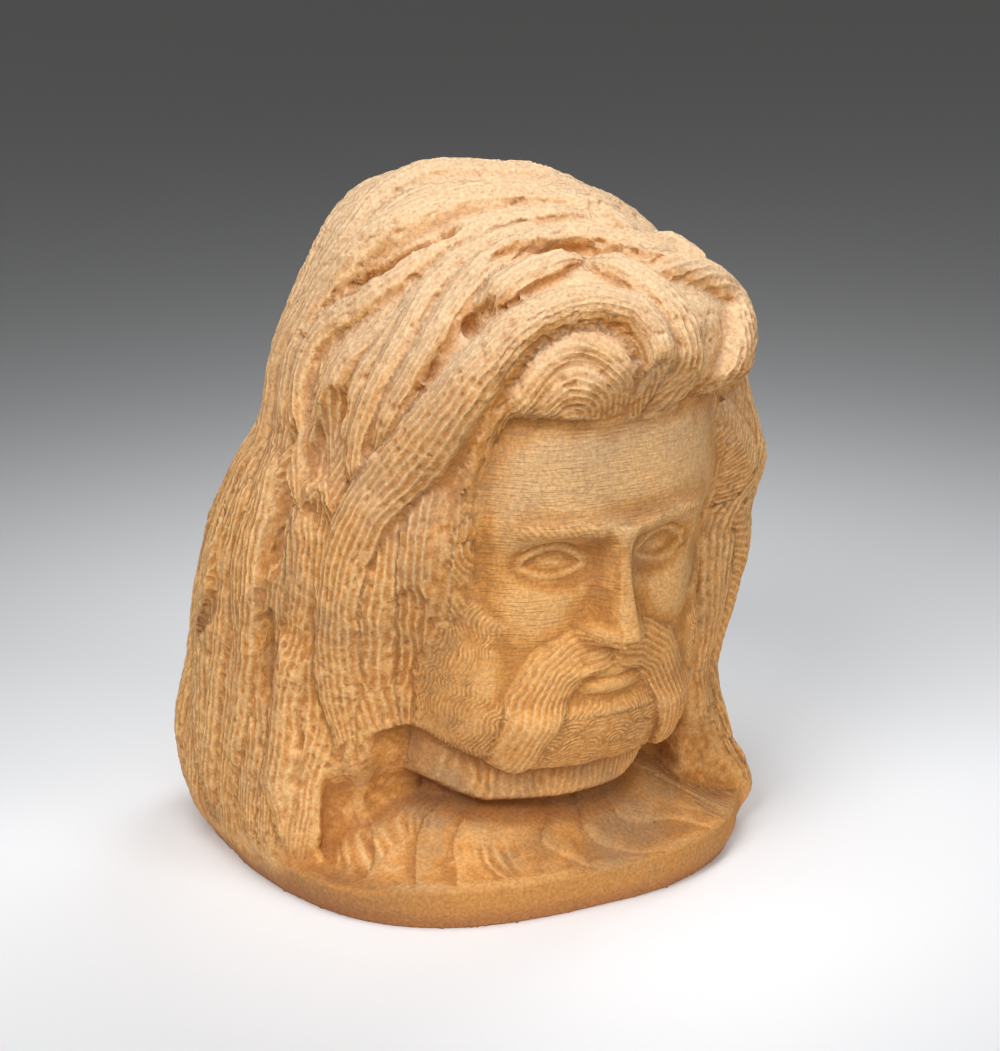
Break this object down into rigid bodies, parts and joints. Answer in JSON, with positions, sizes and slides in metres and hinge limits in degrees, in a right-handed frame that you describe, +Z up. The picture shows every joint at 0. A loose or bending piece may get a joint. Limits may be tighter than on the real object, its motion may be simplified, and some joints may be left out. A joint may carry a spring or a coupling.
{
  "type": "stone bust",
  "caption": "Life-size carved stone bust of a bearded head with long swept hair, leaning forward over a low rounded base.",
  "frame": {"origin": "middle of the flat underside, on the floor it stands on", "axes": "+Z up, -Y out of the face, +X to the statue's left"},
  "size_m": [0.283, 0.3293, 0.3557],
  "materials": {
    "sandstone": "rough ochre sandstone, tooled with a toothed chisel, paler on the crests and browner in the recesses"
  },
  "bodies": {
    "root": {"stone_bust": "sandstone"}
  },
  "joints": []
}
